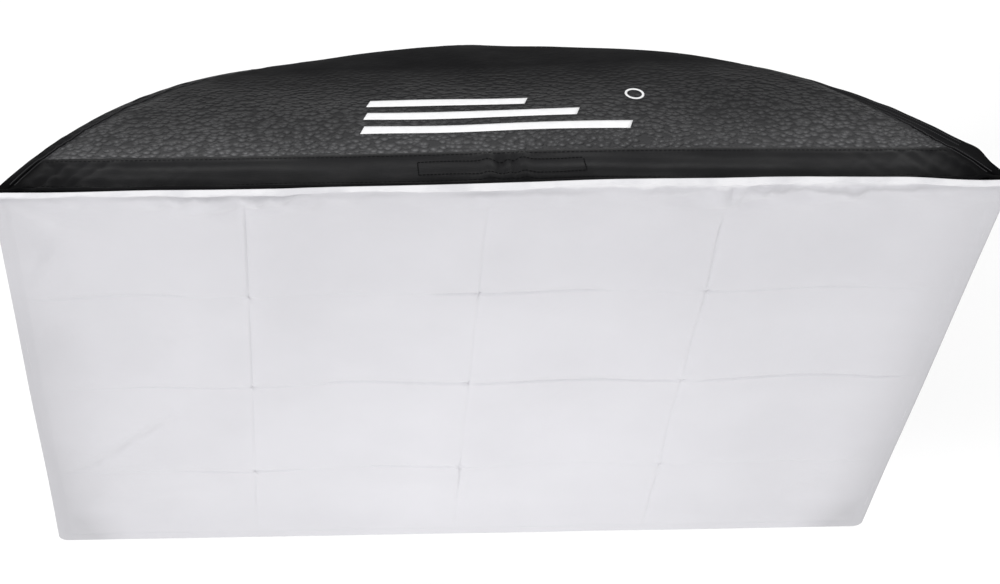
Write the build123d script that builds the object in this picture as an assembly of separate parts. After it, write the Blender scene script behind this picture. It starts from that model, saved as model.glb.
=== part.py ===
from build123d import *
import math
import os

# Rectangular softbox on a three-lug bayonet speed ring.
# Frame: mm, +Z up. The origin is the centre of the speed ring's rear face, where the lamp
# seats; +Y runs back into the lamp, and the white front cloth faces -Y.

# ---- driving dimensions ----
FRONT_W = 900.0  # the four front corners
FRONT_H = 600.0
DEPTH = 394.0  # front edge to the rear face of the speed ring
SEAM_ANGLE = 30.0  # degrees between a corner seam and the Y axis, at the front corner
SEAM_END_R = 75.0  # where the corner seams reach the speed ring
SEAM_END_Y = -10.5

SKIN = 1.2  # outer fabric with its coating
LINING = 0.6
GAP = 0.3  # air between neighbouring layers
LIP_DEPTH = 50.0  # smooth band at the front, along Y
CROWN_TOP = 32.0  # how far the panels bulge at the ring, where they round off
CROWN_SIDE = 14.0
CROWN_GROWTH = 1.5  # the bulge grows with this power of how far the box has narrowed
PANEL_STATIONS = 7  # cross-sections lofted along a panel

RING_R = 76.0  # speed ring
RING_BORE_R = 56.0
RING_LEN = 32.0
RECESS_R = 67.0  # seat of the turning flange
RECESS_Y = -10.0
RETAINER_T = 3.0

BORE_R = 42.0  # bayonet insert
NECK_R = 45.0
NECK_FRONT_Y = -12.0
NECK_REAR_Y = 9.0
LUG_R = 49.0
LUG_T = 2.5
LUG_W = 30.0
LUG_COUNT = 3
RUNNING = 0.08  # clearance of the turning flange, radial and axial

ROD_R = 2.0
ROD_INSET = 11.0  # rod centre line below the corner seam
SLEEVE_R = 4.0
SLEEVE_IN_R = 61.0  # radius at which each sleeve starts and ends
SLEEVE_OUT_R = 90.0
FIT = 0.2  # gap of parts that don't move against each other

LOCK_Y = -6.5
LOCK_R = 2.6
KNOB_R = 10.0

BAFFLE_Y = -150.0
BAFFLE_W = 470.0
BAFFLE_H = 300.0
BAFFLE_CORNER_R = 12.0

# ---- corner seam: a circular arc in each diagonal plane, r(beta) and y(beta) ----
FRONT_R = math.hypot(FRONT_W, FRONT_H) / 2
DIAGONAL = math.atan2(FRONT_H, FRONT_W)
BETA_FRONT = math.radians(SEAM_ANGLE)
CHORD_R = FRONT_R - SEAM_END_R
CHORD_Y = DEPTH + SEAM_END_Y
CHORD_BETA = math.atan2(CHORD_R, CHORD_Y)
BOW_RADIUS = math.hypot(CHORD_R, CHORD_Y) / 2 / math.sin(CHORD_BETA - BETA_FRONT)
ARC_R = FRONT_R - BOW_RADIUS * math.cos(BETA_FRONT)  # centre of the bow
ARC_Y = -DEPTH - BOW_RADIUS * math.sin(BETA_FRONT)

CORNERS = {
    "top_left": (-1, 1),
    "top_right": (1, 1),
    "bottom_left": (-1, -1),
    "bottom_right": (1, -1),
}
# each side's direction across, which with +Y gives its outward direction
SIDES = {
    "top": (-1, 0, 0),
    "bottom": (1, 0, 0),
    "left": (0, 0, -1),
    "right": (0, 0, 1),
}


def save(name, shape):
    export_step(shape, f"parts/{name}.step")


# ---- helpers ----
def seam_beta(y):
    return math.asin((y - ARC_Y) / BOW_RADIUS)


def seam_r(y):
    return ARC_R + BOW_RADIUS * math.cos(seam_beta(y))


def bow_point(corner, beta, inset=0.0):
    """Point of a corner's bow, inset towards the inside of the box."""
    sx, sz = corner
    r = ARC_R + (BOW_RADIUS - inset) * math.cos(beta)
    y = ARC_Y + (BOW_RADIUS - inset) * math.sin(beta)
    return Vector(sx * r * math.cos(DIAGONAL), y, sz * r * math.sin(DIAGONAL))


def rod_beta(r):
    """Angle at which the rod's centre line is at radius r."""
    return math.acos((r - ARC_R) / (BOW_RADIUS - ROD_INSET))


def front_beta(distance):
    """Angle on the bow, a distance back from the front corner."""
    return BETA_FRONT + distance / BOW_RADIUS


def across(side):
    """Cosine and sine that scale r to a side's half length and its height."""
    flat, steep = math.cos(DIAGONAL), math.sin(DIAGONAL)
    return (flat, steep) if side in ("top", "bottom") else (steep, flat)


def station(side, y):
    """Half length, height, crown and 1/cos of the slope of a side's skin at depth y."""
    along, up = across(side)
    r = seam_r(y)
    rear_r = seam_r(PANEL_REAR_Y)
    crown_at_ring = CROWN_TOP if side in ("top", "bottom") else CROWN_SIDE
    narrowed = max(0.0, (FRONT_R - r) / (FRONT_R - rear_r))
    crown = 0.2 + crown_at_ring * narrowed**CROWN_GROWTH
    slope = math.atan(math.tan(seam_beta(y)) * up)
    return r * along, r * up, crown, 1 / math.cos(slope)


def section_plane(side, y):
    return Plane(origin=(0, y, 0), x_dir=SIDES[side], z_dir=(0, 1, 0))


def band(side, y, end_gap, inset, thickness, half=None):
    """Thin crowned cross-section of one layer of a side."""
    half_length, height, crown, stretch = station(side, y)
    reach = half if half is not None else half_length - end_gap
    rise = crown * (1 - (reach / half_length) ** 2)
    outer = height - inset * stretch
    inner = outer - thickness * stretch
    lines = [
        ThreePointArc((-reach, outer + rise), (0, outer + crown), (reach, outer + rise)),
        Line((reach, outer + rise), (reach, inner + rise)),
        ThreePointArc((reach, inner + rise), (0, inner + crown), (-reach, inner + rise)),
        Line((-reach, inner + rise), (-reach, outer + rise)),
    ]
    return section_plane(side, y) * make_face(lines)


def layer(side, y_front, y_rear, stations, end_gap, inset, thickness, half=None):
    """One layer of a side, lofted from y_front to y_rear."""
    step = (y_rear - y_front) / (stations - 1)
    sections = []
    for i in range(stations):
        sections.append(band(side, y_front + i * step, end_gap, inset, thickness, half))
    return loft(sections)


def disc_y(radius, y0, y1):
    return Pos(0, (y0 + y1) / 2, 0) * Rot(90, 0, 0) * Cylinder(radius, y1 - y0)


def tube_y(r_in, r_out, y0, y1):
    return disc_y(r_out, y0, y1) - disc_y(r_in, y0 - 1, y1 + 1)


def rod_between(p, q, radius):
    """Round bar from p to q."""
    axis = q - p
    return Plane(origin=p, z_dir=axis) * Cylinder(
        radius, axis.length, align=(Align.CENTER, Align.CENTER, Align.MIN)
    )


PANEL_FRONT_Y = -DEPTH + LIP_DEPTH + GAP
PANEL_REAR_Y = -RING_LEN - 2.0
LIP_REAR_Y = -DEPTH + LIP_DEPTH


# ---- bayonet insert, the fixed mount ----
def mount_insert():
    body = tube_y(BORE_R, NECK_R, NECK_FRONT_Y, NECK_REAR_Y)
    flange_front = RECESS_Y + RUNNING
    flange_rear = -RETAINER_T - RUNNING
    body += tube_y(NECK_R - 1, RECESS_R - RUNNING, flange_front, flange_rear)
    lug_ring = tube_y(NECK_R - 1, LUG_R, NECK_REAR_Y - LUG_T, NECK_REAR_Y)
    for i in range(LUG_COUNT):
        angle = 90 + i * 360 / LUG_COUNT
        window = Rot(0, angle, 0) * Pos(NECK_R, NECK_REAR_Y, 0) * Box(20, 4 * LUG_T, LUG_W)
        body += lug_ring & window
    return body


# ---- speed ring ----
SCREW_PCD_R = 69.6
SCREW_ANGLES = (60, 120, 240, 300)
SCREW_R = 1.5
SCREW_HEAD_R = 2.3
SCREW_HEAD_T = 1.6
SCREW_END_Y = -8.6
GRUB_R = 2.0
GRUB_AT_R = 70.0


def retainer_screw_at(angle, radius, head_radius, head_front, y_end, y_rear):
    place = Rot(0, angle, 0) * Pos(SCREW_PCD_R, 0, 0)
    return place * (disc_y(radius, y_end, y_rear) + disc_y(head_radius, head_front, y_rear))


def sleeve_line(corner):
    p = bow_point(corner, rod_beta(SLEEVE_IN_R), ROD_INSET)
    q = bow_point(corner, rod_beta(SLEEVE_OUT_R), ROD_INSET)
    return p, q


def grub_at(corner, radius, y_front, y_rear):
    sx, sz = corner
    x = sx * GRUB_AT_R * math.cos(DIAGONAL)
    z = sz * GRUB_AT_R * math.sin(DIAGONAL)
    return Pos(x, 0, z) * disc_y(radius, y_front, y_rear)


def grub_depth():
    """Y at which a grub screw first meets its slanted sleeve."""
    beta = rod_beta(GRUB_AT_R)
    centre_y = ARC_Y + (BOW_RADIUS - ROD_INSET) * math.sin(beta)
    return centre_y - SLEEVE_R / math.sin(beta) - GRUB_R / math.tan(beta)


def lock_bar(radius, r0, r1):
    """Bar on the lock's axis, pointing down from the ring."""
    return rod_between(Vector(0, LOCK_Y, -r0), Vector(0, LOCK_Y, -r1), radius)


def speed_ring():
    ring = tube_y(RING_BORE_R, RING_R, -RING_LEN, RECESS_Y)
    ring += tube_y(RECESS_R, RING_R, RECESS_Y - 1, 0)
    ring -= tube_y(RECESS_R - 2, SCREW_PCD_R + SCREW_HEAD_R + FIT, -RETAINER_T, 1)
    for corner in CORNERS.values():
        p, q = sleeve_line(corner)
        ring -= rod_between(p, q, SLEEVE_R + FIT)
        ring -= grub_at(corner, GRUB_R + FIT, -RING_LEN - 1, grub_depth())
    for angle in SCREW_ANGLES:
        ring -= retainer_screw_at(angle, SCREW_R + FIT, SCREW_R + FIT, -4, SCREW_END_Y - FIT, 1)
    ring -= lock_bar(LOCK_R, RECESS_R - 3, RING_R + 3)
    front_edge = ring.edges().filter_by(GeomType.CIRCLE).group_by(Axis.Y)[0]
    outer = [e for e in front_edge if e.radius > RING_R - 1]
    return chamfer(outer, 1.5)


def insert_retainer():
    plate = tube_y(NECK_R + 3, SCREW_PCD_R + SCREW_HEAD_R, -RETAINER_T, 0)
    for angle in SCREW_ANGLES:
        head_front = -SCREW_HEAD_T - FIT
        plate -= retainer_screw_at(
            angle, SCREW_R + FIT, SCREW_HEAD_R + FIT, head_front, -RETAINER_T - 1, 1
        )
    return plate


def retainer_screws():
    screws = []
    for angle in SCREW_ANGLES:
        screw = retainer_screw_at(
            angle, SCREW_R, SCREW_HEAD_R, -SCREW_HEAD_T, SCREW_END_Y, 0
        )
        slot = Rot(0, angle, 0) * Pos(SCREW_PCD_R, 0, 0) * Box(0.7, 1.6, 3.6)
        screws.append(screw - slot)
    return Compound(children=screws)


def rod_socket(corner):
    p, q = sleeve_line(corner)
    inner = rod_between(p - (q - p), q + (q - p), ROD_R + 0.3)
    return rod_between(p, q, SLEEVE_R) - inner


def socket_screws():
    screws = []
    for corner in CORNERS.values():
        screws.append(grub_at(corner, GRUB_R, -RING_LEN + 1, grub_depth() - FIT))
    return Compound(children=screws)


# ---- rotation lock ----
PAD_TIP_R = RECESS_R + 0.1
PAD_LEN = 3.0
KNOB_IN_R = 86.0
KNOB_LEN = 15.0
KNOB_LOBES = 6


def lock_pad():
    return lock_bar(LOCK_R - 0.06, PAD_TIP_R, PAD_TIP_R + PAD_LEN)


def lock_screw():
    return lock_bar(LOCK_R - FIT, PAD_TIP_R + PAD_LEN, KNOB_IN_R + KNOB_LEN - 4)


def lock_knob():
    knob = lock_bar(KNOB_R, KNOB_IN_R + 3, KNOB_IN_R + KNOB_LEN)
    knob = fillet(knob.edges().filter_by(GeomType.CIRCLE).group_by(Axis.Z)[0], 2)
    for i in range(KNOB_LOBES):
        angle = math.tau * i / KNOB_LOBES
        x, y = (KNOB_R + 2) * math.cos(angle), (KNOB_R + 2) * math.sin(angle)
        flute = Pos(x, LOCK_Y + y, -KNOB_IN_R - KNOB_LEN / 2) * Cylinder(3.4, 2 * KNOB_LEN)
        knob -= flute
    knob += lock_bar(5.5, KNOB_IN_R, KNOB_IN_R + 4)
    return knob - lock_bar(LOCK_R, KNOB_IN_R - 1, KNOB_IN_R + KNOB_LEN - 3.8)


# ---- rods, their tips and pockets ----
TIP_FROM = 14.0  # distances back from the front corner, along the bow
ROD_FROM = 28.0
TIP_TO = 38.0
TIP_R = 3.3
POCKET_FROM = 12.5
POCKET_TO = 46.0
POCKET_R = 4.6


def rod(corner):
    betas = [front_beta(ROD_FROM), 0, rod_beta(SLEEVE_IN_R + 1.5)]
    betas[1] = (betas[0] + betas[2]) / 2
    points = [bow_point(corner, beta, ROD_INSET) for beta in betas]
    path = Edge.make_three_point_arc(*points)
    return sweep(Plane(origin=path @ 0, z_dir=path % 0) * Circle(ROD_R), path=path)


def on_rod(corner, distance):
    return bow_point(corner, front_beta(distance), ROD_INSET)


def rod_tip(corner):
    tip = rod_between(on_rod(corner, TIP_FROM), on_rod(corner, TIP_TO), TIP_R)
    bore = rod_between(on_rod(corner, ROD_FROM - 1), on_rod(corner, TIP_TO + 5), ROD_R + FIT)
    return tip - bore


def corner_pocket(corner):
    sleeve = rod_between(on_rod(corner, POCKET_FROM), on_rod(corner, POCKET_TO), POCKET_R)
    bore = rod_between(on_rod(corner, TIP_FROM - 0.4), on_rod(corner, POCKET_TO + 5), TIP_R + 0.4)
    return sleeve - bore


# ---- corner welts: two layers of skin sewn together outside the seam ----
WELT_OUT = 7.0
WELT_T = 1.6
WELT_FROM = 26.0


def seam_welt(corner):
    sx, sz = corner
    betas = (front_beta(WELT_FROM), seam_beta(PANEL_REAR_Y))
    middle = sum(betas) / 2
    inner = [bow_point((1, 0), b, -1.0) for b in (betas[0], middle, betas[1])]
    outer = [bow_point((1, 0), b, -WELT_OUT) for b in (betas[0], middle, betas[1])]

    def flat(point):
        return (point.X / math.cos(DIAGONAL), point.Y)

    lines = [
        ThreePointArc(*[flat(p) for p in inner]),
        Line(flat(inner[2]), flat(outer[2])),
        ThreePointArc(*[flat(p) for p in reversed(outer)]),
        Line(flat(outer[0]), flat(inner[0])),
    ]
    radial = Vector(sx * math.cos(DIAGONAL), 0, sz * math.sin(DIAGONAL))
    normal = radial.cross(Vector(0, 1, 0))
    plane = Plane(origin=(0, 0, 0), x_dir=radial, z_dir=normal)
    return extrude(plane * make_face(lines), WELT_T / 2, both=True)


# ---- fabric ----
PANEL_END_GAP = 3.0
LINING_END_GAP = 8.0
LINING_FRONT_Y = PANEL_FRONT_Y + 1.0
LINING_REAR_Y = PANEL_REAR_Y - 2.0
LINING_INSET = SKIN + GAP
STRAP_T = 0.8
VELCRO_INSET = SKIN + GAP
HEM_INSET = VELCRO_INSET + STRAP_T + GAP
STRAP_END_GAP = 45.0
STRAP_REAR_Y = -DEPTH + 15.0
PATCH_W = 150.0
PATCH_FRONT_Y = -DEPTH + 17.0
PATCH_REAR_Y = -DEPTH + 38.0
CLOTH_T = 1.2
CLOTH_BACK_Y = -DEPTH - GAP
CLOTH_CORNER_R = 6.0


def lip(side):
    return layer(side, -DEPTH, LIP_REAR_Y, 3, PANEL_END_GAP, 0, SKIN)


def panel(side):
    return layer(side, PANEL_FRONT_Y, PANEL_REAR_Y, PANEL_STATIONS, PANEL_END_GAP, 0, SKIN)


def lining(side):
    return layer(
        side, LINING_FRONT_Y, LINING_REAR_Y, PANEL_STATIONS, LINING_END_GAP, LINING_INSET, LINING
    )


def lip_velcro():
    y0 = -DEPTH + 2
    strips = [layer(s, y0, STRAP_REAR_Y, 2, STRAP_END_GAP, VELCRO_INSET, STRAP_T) for s in SIDES]
    return Compound(children=strips)


def lip_patch():
    return layer("top", PATCH_FRONT_Y, PATCH_REAR_Y, 2, 0, LINING_INSET, STRAP_T, half=PATCH_W / 2)


def front_diffuser():
    cloth = RectangleRounded(FRONT_W, FRONT_H, CLOTH_CORNER_R)
    plane = Plane(origin=(0, CLOTH_BACK_Y, 0), x_dir=(1, 0, 0), z_dir=(0, -1, 0))
    return extrude(plane * cloth, CLOTH_T)


def diffuser_hem():
    strips = []
    for side in SIDES:
        strips.append(layer(side, CLOTH_BACK_Y, STRAP_REAR_Y, 2, STRAP_END_GAP, HEM_INSET, STRAP_T))
    return Compound(children=strips)


def collar_section(y, grow):
    """Closed outline round the box at the panels' rear end, out of four crowned sides."""
    half_w, half_h, crown_top, _ = station("top", y)
    crown_side = station("left", y)[2]
    w, h = half_w + grow, half_h + grow
    lines = [
        ThreePointArc((-w, h), (0, h + crown_top), (w, h)),
        ThreePointArc((w, h), (w + crown_side, 0), (w, -h)),
        ThreePointArc((w, -h), (0, -h - crown_top), (-w, -h)),
        ThreePointArc((-w, -h), (-w - crown_side, 0), (-w, h)),
    ]
    return section_plane("top", y) * make_face(lines)


def round_section(y, radius):
    """Circle split at the four corners, to match the collar's front outline."""
    a = Vector(radius * math.cos(DIAGONAL), radius * math.sin(DIAGONAL))
    lines = [
        ThreePointArc((-a.X, a.Y), (0, radius), (a.X, a.Y)),
        ThreePointArc((a.X, a.Y), (radius, 0), (a.X, -a.Y)),
        ThreePointArc((a.X, -a.Y), (0, -radius), (-a.X, -a.Y)),
        ThreePointArc((-a.X, -a.Y), (-radius, 0), (-a.X, a.Y)),
    ]
    return section_plane("top", y) * make_face(lines)


COLLAR_FRONT_Y = PANEL_REAR_Y + GAP
COLLAR_REAR_Y = -13.0
COLLAR_IN_R = RING_R + 1.0
COLLAR_T = 1.6


def rear_collar():
    outer = loft(
        [collar_section(COLLAR_FRONT_Y, 0), round_section(COLLAR_REAR_Y, COLLAR_IN_R + COLLAR_T)]
    )
    inner = loft(
        [collar_section(COLLAR_FRONT_Y, -COLLAR_T * 2), round_section(COLLAR_REAR_Y, COLLAR_IN_R)]
    )
    return outer - inner


# ---- inner baffle ----
TAB_W = 30.0
TAB_T = 1.0
TAB_OUT = 16.0
TAB_OVERLAP = 11.0
TAB_AT_TOP = 180.0
TAB_AT_SIDE = 105.0


def inner_baffle():
    cloth = RectangleRounded(BAFFLE_W, BAFFLE_H, BAFFLE_CORNER_R)
    plane = Plane(origin=(0, BAFFLE_Y, 0), x_dir=(1, 0, 0), z_dir=(0, -1, 0))
    return extrude(plane * cloth, TAB_T)


def tab_places():
    """Side, place across, and the baffle's edge on that side."""
    for side in SIDES:
        flat = side in ("top", "bottom")
        at, edge = (TAB_AT_TOP, BAFFLE_H / 2) if flat else (TAB_AT_SIDE, BAFFLE_W / 2)
        for sign in (-1, 1):
            yield side, sign * at, edge


def tab_box(side, u, v0, v1, y0, thickness):
    strip = Pos(u, (v0 + v1) / 2) * Rectangle(TAB_W, v1 - v0)
    return extrude(section_plane(side, y0) * strip, thickness)


def baffle_tabs():
    tabs = []
    for side, u, edge in tab_places():
        tabs.append(tab_box(side, u, edge, edge + TAB_OUT, BAFFLE_Y - TAB_T, TAB_T))
    return Compound(children=tabs)


def baffle_anchors():
    anchors = []
    for side, u, edge in tab_places():
        half_length, height, crown, stretch = station(side, BAFFLE_Y)
        outermost = abs(u) + TAB_W / 2
        top = height + crown * (1 - (outermost / half_length) ** 2)
        top -= (LINING_INSET + LINING + 1.2) * stretch
        root = edge + TAB_OUT - TAB_OVERLAP
        anchors.append(tab_box(side, u, root, top, BAFFLE_Y + GAP, TAB_T))
    return Compound(children=anchors)


# ---- write every node ----
os.makedirs("parts", exist_ok=True)

save("mount_insert", mount_insert())
save("speed_ring", speed_ring())
save("insert_retainer", insert_retainer())
save("retainer_screws", retainer_screws())
save("socket_screws", socket_screws())
save("lock_pad", lock_pad())
save("lock_screw", lock_screw())
save("lock_knob", lock_knob())
for name, corner in CORNERS.items():
    save(f"rod_socket_{name}", rod_socket(corner))
    save(f"rod_{name}", rod(corner))
    save(f"rod_tip_{name}", rod_tip(corner))
    save(f"corner_pocket_{name}", corner_pocket(corner))
    save(f"seam_welt_{name}", seam_welt(corner))
for name in SIDES:
    save(f"lip_{name}", lip(name))
    save(f"panel_{name}", panel(name))
    save(f"lining_{name}", lining(name))
save("rear_collar", rear_collar())
save("lip_velcro", lip_velcro())
save("lip_patch", lip_patch())
save("front_diffuser", front_diffuser())
save("diffuser_hem", diffuser_hem())
save("inner_baffle", inner_baffle())
save("baffle_tabs", baffle_tabs())
save("baffle_anchors", baffle_anchors())
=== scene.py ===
import math
import bmesh
import bpy
import numpy as np
from mathutils import Matrix, Vector


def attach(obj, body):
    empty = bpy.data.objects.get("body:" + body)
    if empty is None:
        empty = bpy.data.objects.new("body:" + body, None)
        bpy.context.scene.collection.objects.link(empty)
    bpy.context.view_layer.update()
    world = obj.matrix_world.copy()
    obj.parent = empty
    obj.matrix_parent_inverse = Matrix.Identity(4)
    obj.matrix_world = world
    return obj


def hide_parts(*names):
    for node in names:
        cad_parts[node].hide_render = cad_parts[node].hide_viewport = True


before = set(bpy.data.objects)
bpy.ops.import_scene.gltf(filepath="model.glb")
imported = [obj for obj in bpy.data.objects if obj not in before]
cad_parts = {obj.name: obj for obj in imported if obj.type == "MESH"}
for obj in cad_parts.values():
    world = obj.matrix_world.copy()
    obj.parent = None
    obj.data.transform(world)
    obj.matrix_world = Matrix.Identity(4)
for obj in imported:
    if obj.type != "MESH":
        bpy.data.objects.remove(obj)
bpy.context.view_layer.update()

# ---- dimensions, metres
FRONT_W = 0.900
FRONT_H = 0.600
DEPTH = 0.394
SEAM_ANGLE = math.radians(30)
SEAM_END_R = 0.075
SEAM_END_Y = -0.0105
CROWN_TOP = 0.032
CROWN_SIDE = 0.014
PANEL_REAR_Y = -0.034
LIP_DEPTH = 0.050
LIP_REAR_Y = -DEPTH + LIP_DEPTH
SKIN = 0.0012
LINING = 0.0005
LINING_DROP = 0.0020
BAND = 0.0011
FRONT_R = math.hypot(FRONT_W, FRONT_H) / 2
DIAGONAL = math.atan2(FRONT_H, FRONT_W)
CHORD_R = FRONT_R - SEAM_END_R
CHORD_Y = DEPTH + SEAM_END_Y
BOW_R = math.hypot(CHORD_R, CHORD_Y) / 2 / math.sin(math.atan2(CHORD_R, CHORD_Y) - SEAM_ANGLE)
ARC_R = FRONT_R - BOW_R * math.cos(SEAM_ANGLE)
ARC_Y = -DEPTH - BOW_R * math.sin(SEAM_ANGLE)
SIDES = ("top", "bottom", "left", "right")
CORNERS = {"top_left": (-1, 1), "top_right": (1, 1), "bottom_left": (-1, -1), "bottom_right": (1, -1)}


# ---- shape of the shell
def seam_r(y):
    return ARC_R + np.sqrt(BOW_R**2 - (y - ARC_Y) ** 2)


def station(side, y):
    """Half length, height and crown of a side at depth y."""
    flat = side in ("top", "bottom")
    along, up = (math.cos(DIAGONAL), math.sin(DIAGONAL))
    if not flat:
        along, up = up, along
    r = seam_r(y)
    narrowed = np.maximum(0, (FRONT_R - r) / (FRONT_R - seam_r(PANEL_REAR_Y)))
    crown = 0.0002 + (CROWN_TOP if flat else CROWN_SIDE) * narrowed**1.5
    return r * along, r * up, crown


def place(side, u, y, v):
    """Point of a side from its place across, its depth, and its height off the mount's axis."""
    u, y, v = np.broadcast_arrays(u, y, v)
    if side in ("top", "bottom"):
        return np.stack([u, y, v if side == "top" else -v], -1)
    return np.stack([v if side == "right" else -v, y, u], -1)


def bare(side, t, y):
    half, height, crown = station(side, y)
    return place(side, t * half, y, height + crown * (1 - t * t))


def normal(side, t, y):
    d = 1e-4
    a = bare(side, t + d, y) - bare(side, t - d, y)
    b = bare(side, t, y + d) - bare(side, t, y - d)
    n = np.cross(a, b)
    n /= np.linalg.norm(n, axis=-1, keepdims=True)
    out = place(side, 0.0, 0.0, 1.0)
    return n * np.sign((n * out).sum(-1, keepdims=True))


def lifted(side, t, y, lift):
    """Point of the shell, lift metres outside its outer surface."""
    return bare(side, t, y) + normal(side, t, y) * np.asarray(lift)[..., None]


def ripple(a, b, seed, wavelength, count=7):
    """Smooth seeded waviness of about -1 to 1."""
    rng = np.random.RandomState(seed)
    total = 0.0
    for _ in range(count):
        turn = rng.uniform(0, math.tau)
        k = math.tau / (wavelength * rng.uniform(0.6, 1.6))
        total = total + np.sin(k * (a * math.cos(turn) + b * math.sin(turn)) + rng.uniform(0, math.tau))
    return total / count * 1.6


def smooth(x, lo, hi):
    """0 up to lo and 1 from hi on."""
    s = np.clip((x - lo) / (hi - lo), 0, 1)
    return s * s * (3 - 2 * s)


def between(x, a, b, c, d):
    """0 up to a, 1 from b to c, and 0 from d on."""
    return smooth(x, a, b) * smooth(-x, -d, -c)


def hump(x, width):
    """Bell of height 1 about x = 0."""
    return np.exp(-((x / width) ** 2))


SEED = {"top": 11, "bottom": 23, "left": 37, "right": 41}
BOW_UP = 0.0035
BOW_AT = 0.12
BOW_WIDTH = 0.20


def bow(side, u):
    """How far the top side stands up along its front, right of its middle."""
    if side != "top":
        return 0 * u
    return BOW_UP * hump(u - BOW_AT, BOW_WIDTH) * smooth(FRONT_W / 2 - np.abs(u), 0, 0.12)


def top_fullness(t, u, y, edge):
    """Extra height of the top panel: most on its right, a little at its rear, and the bow of its front."""
    right = smooth(t, 0.15, 0.6) + 0.6 * smooth(t, 0.5, 0.8)
    full = 0.0055 * right * smooth(edge, 0, 0.016) * between(y, -0.32, -0.2, -0.08, -0.036)
    full = full + 0.0016 * hump(t + 0.22, 0.16) * between(y, -0.12, -0.07, -0.045, -0.034)
    full = full + 0.0015 * hump(t, 0.35) * smooth(y, -0.09, -0.05)
    return full + bow("top", u) * smooth(-y, 0.10, 0.34)


def slack(side, t, y):
    """How far the outer fabric stands off its ideal surface: soft waves, billows and puckers at the seams."""
    half, _, _ = station(side, y)
    u = t * half
    edge = (1 - np.abs(t)) * half
    seed = SEED[side]
    waves = 0.0014 * ripple(u, y, seed, 0.16) * smooth(edge, 0, 0.05)
    full = 0.0035 * smooth(edge, 0, 0.035) * between(y, -0.33, -0.24, -0.09, -0.04)
    if side == "top":
        full = full + top_fullness(t, u, y, edge)
    pucker = 0.0006 * np.sin(y * math.tau / 0.012 + 3 * ripple(y, u, seed + 1, 0.1)) * np.exp(-edge / 0.012)
    fan = 0.0009 * ripple(u * 0.35 + y, u * 0.2, seed + 2, 0.035) * np.exp(-edge / 0.05)
    behind_lip = smooth(y, LIP_REAR_Y, LIP_REAR_Y + 0.03)
    return (waves + full + (pucker + fan) * smooth(edge, 0.0, 0.004)) * behind_lip


# ---- mesh helpers
def put(name, data):
    obj = bpy.data.objects.new(name, data)
    bpy.context.scene.collection.objects.link(obj)
    return obj


def add_mesh(name, verts, faces, material, shade_smooth=True):
    mesh = bpy.data.meshes.new(name)
    mesh.from_pydata(np.asarray(verts, float).reshape(-1, 3).tolist(), [], [list(map(int, f)) for f in faces])
    mesh.update()
    mesh.materials.append(material)
    if shade_smooth:
        mesh.polygons.foreach_set("use_smooth", [True] * len(mesh.polygons))
    return put(name, mesh)


def face_outwards(obj):
    bm = bmesh.new()
    bm.from_mesh(obj.data)
    bmesh.ops.recalc_face_normals(bm, faces=bm.faces)
    bm.to_mesh(obj.data)
    bm.free()
    return obj


def grid_faces(nu, nv, start=0):
    i, j = np.meshgrid(np.arange(nu - 1), np.arange(nv - 1), indexing="ij")
    a = start + i * nv + j
    b = a + nv
    return np.stack([a, b, b + 1, a + 1], -1).reshape(-1, 4)


def slab(name, outer, inner, material):
    """Closed thin sheet between two grids of points."""
    nu, nv = outer.shape[:2]
    n = nu * nv
    faces = [grid_faces(nu, nv), grid_faces(nu, nv, n)[:, ::-1]]
    index = np.arange(n).reshape(nu, nv)
    rim = np.concatenate([index[:, 0], index[-1, 1:], index[-2::-1, -1], index[0, -2:0:-1]])
    after = np.roll(rim, -1)
    faces.append(np.stack([rim, after, after + n, rim + n], -1))
    verts = np.concatenate([outer.reshape(-1, 3), inner.reshape(-1, 3)])
    return face_outwards(add_mesh(name, verts, np.concatenate(faces), material))


def tube(name, rings, material, closed=False):
    """Skin over a row of closed rings of points; the ends are capped unless the row closes."""
    count, sides = rings.shape[:2]
    i, j = np.meshgrid(np.arange(count if closed else count - 1), np.arange(sides), indexing="ij")
    here, there, after = i * sides, (i + 1) % count * sides, (j + 1) % sides
    faces = np.stack([here + j, there + j, there + after, here + after], -1).reshape(-1, 4).tolist()
    if not closed:
        last = (count - 1) * sides
        faces += [list(range(sides)), list(range(last, last + sides))[::-1]]
    return face_outwards(add_mesh(name, rings.reshape(-1, 3), faces, material))


def join(name, objects):
    """One object of several, named."""
    bpy.ops.object.select_all(action="DESELECT")
    for o in objects:
        o.select_set(True)
    bpy.context.view_layer.objects.active = objects[0]
    bpy.ops.object.join()
    objects[0].name = name
    return objects[0]


def dashes(name, starts, ends, normals, width, material):
    """Stitches: one low crowned bar from each start to each end, lying on the cloth."""
    along = ends - starts
    length = np.linalg.norm(along, axis=-1, keepdims=True)
    along = along / length
    side = np.cross(normals, along)
    profile = ((-0.5, 0.0), (-0.35, 0.38), (0.0, 0.55), (0.35, 0.38), (0.5, 0.0))
    steps = ((0.0, 0.35), (0.18, 1.0), (0.82, 1.0), (1.0, 0.35))
    points = []
    for where, size in steps:
        for across, up in profile:
            points.append(starts + along * length * where + (side * across + normals * up * size) * width)
    points = np.stack(points, 1)
    rows, cols = len(steps), len(profile)
    unit = grid_faces(rows, cols)
    faces = (unit[None] + (np.arange(len(starts)) * rows * cols)[:, None, None]).reshape(-1, 4)
    return add_mesh(name, points.reshape(-1, 3), faces, material)


# ---- materials
def material(name, color, roughness, metallic=0.0, specular=0.5, sheen=0.0):
    mat = bpy.data.materials.new(name)
    mat.use_nodes = True
    bsdf = surface(mat)
    bsdf.inputs["Base Color"].default_value = (*color, 1)
    bsdf.inputs["Roughness"].default_value = roughness
    bsdf.inputs["Metallic"].default_value = metallic
    bsdf.inputs["Specular IOR Level"].default_value = specular
    bsdf.inputs["Sheen Weight"].default_value = sheen
    return mat


def surface(mat):
    return mat.node_tree.nodes["Principled BSDF"]


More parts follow.
